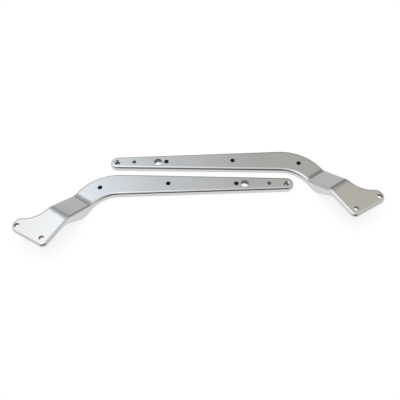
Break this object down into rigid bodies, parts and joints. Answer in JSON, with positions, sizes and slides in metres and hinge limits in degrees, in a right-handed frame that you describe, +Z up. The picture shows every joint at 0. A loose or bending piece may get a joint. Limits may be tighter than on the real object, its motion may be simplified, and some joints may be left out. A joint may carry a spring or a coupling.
{
  "type": "rear fender strut pair",
  "caption": "Matched left and right chromed fender struts: tapered arm with a round tip, a bend, a thick joggle up to a flared two-hole plate, and thread inserts flush in the arm.",
  "frame": {"origin": "centre of the footprint of the pair on the surface it lies on", "axes": "+X along the arms, towards the round tip of the left strut; +Y from the left strut to the right strut; +Z up, out of the chromed faces"},
  "size_m": [0.7653, 0.2708, 0.0508],
  "materials": {
    "chrome": "polished chrome over steel, with faint lengthwise brushing",
    "insert_steel": "black oxide"
  },
  "bodies": {
    "left_bar": {"left_strut": "chrome", "left_rear_insert": "insert_steel", "left_middle_insert": "insert_steel", "left_front_insert": "insert_steel"},
    "right_bar": {"right_strut": "chrome", "right_rear_insert": "insert_steel", "right_middle_insert": "insert_steel", "right_front_insert": "insert_steel"}
  },
  "joints": [
    {"name": "right_strut_moves_away", "type": "slide", "parent": "left_bar", "child": "right_bar", "axis": [0, 1, 0], "range_m": [0, 0.15]}
  ]
}
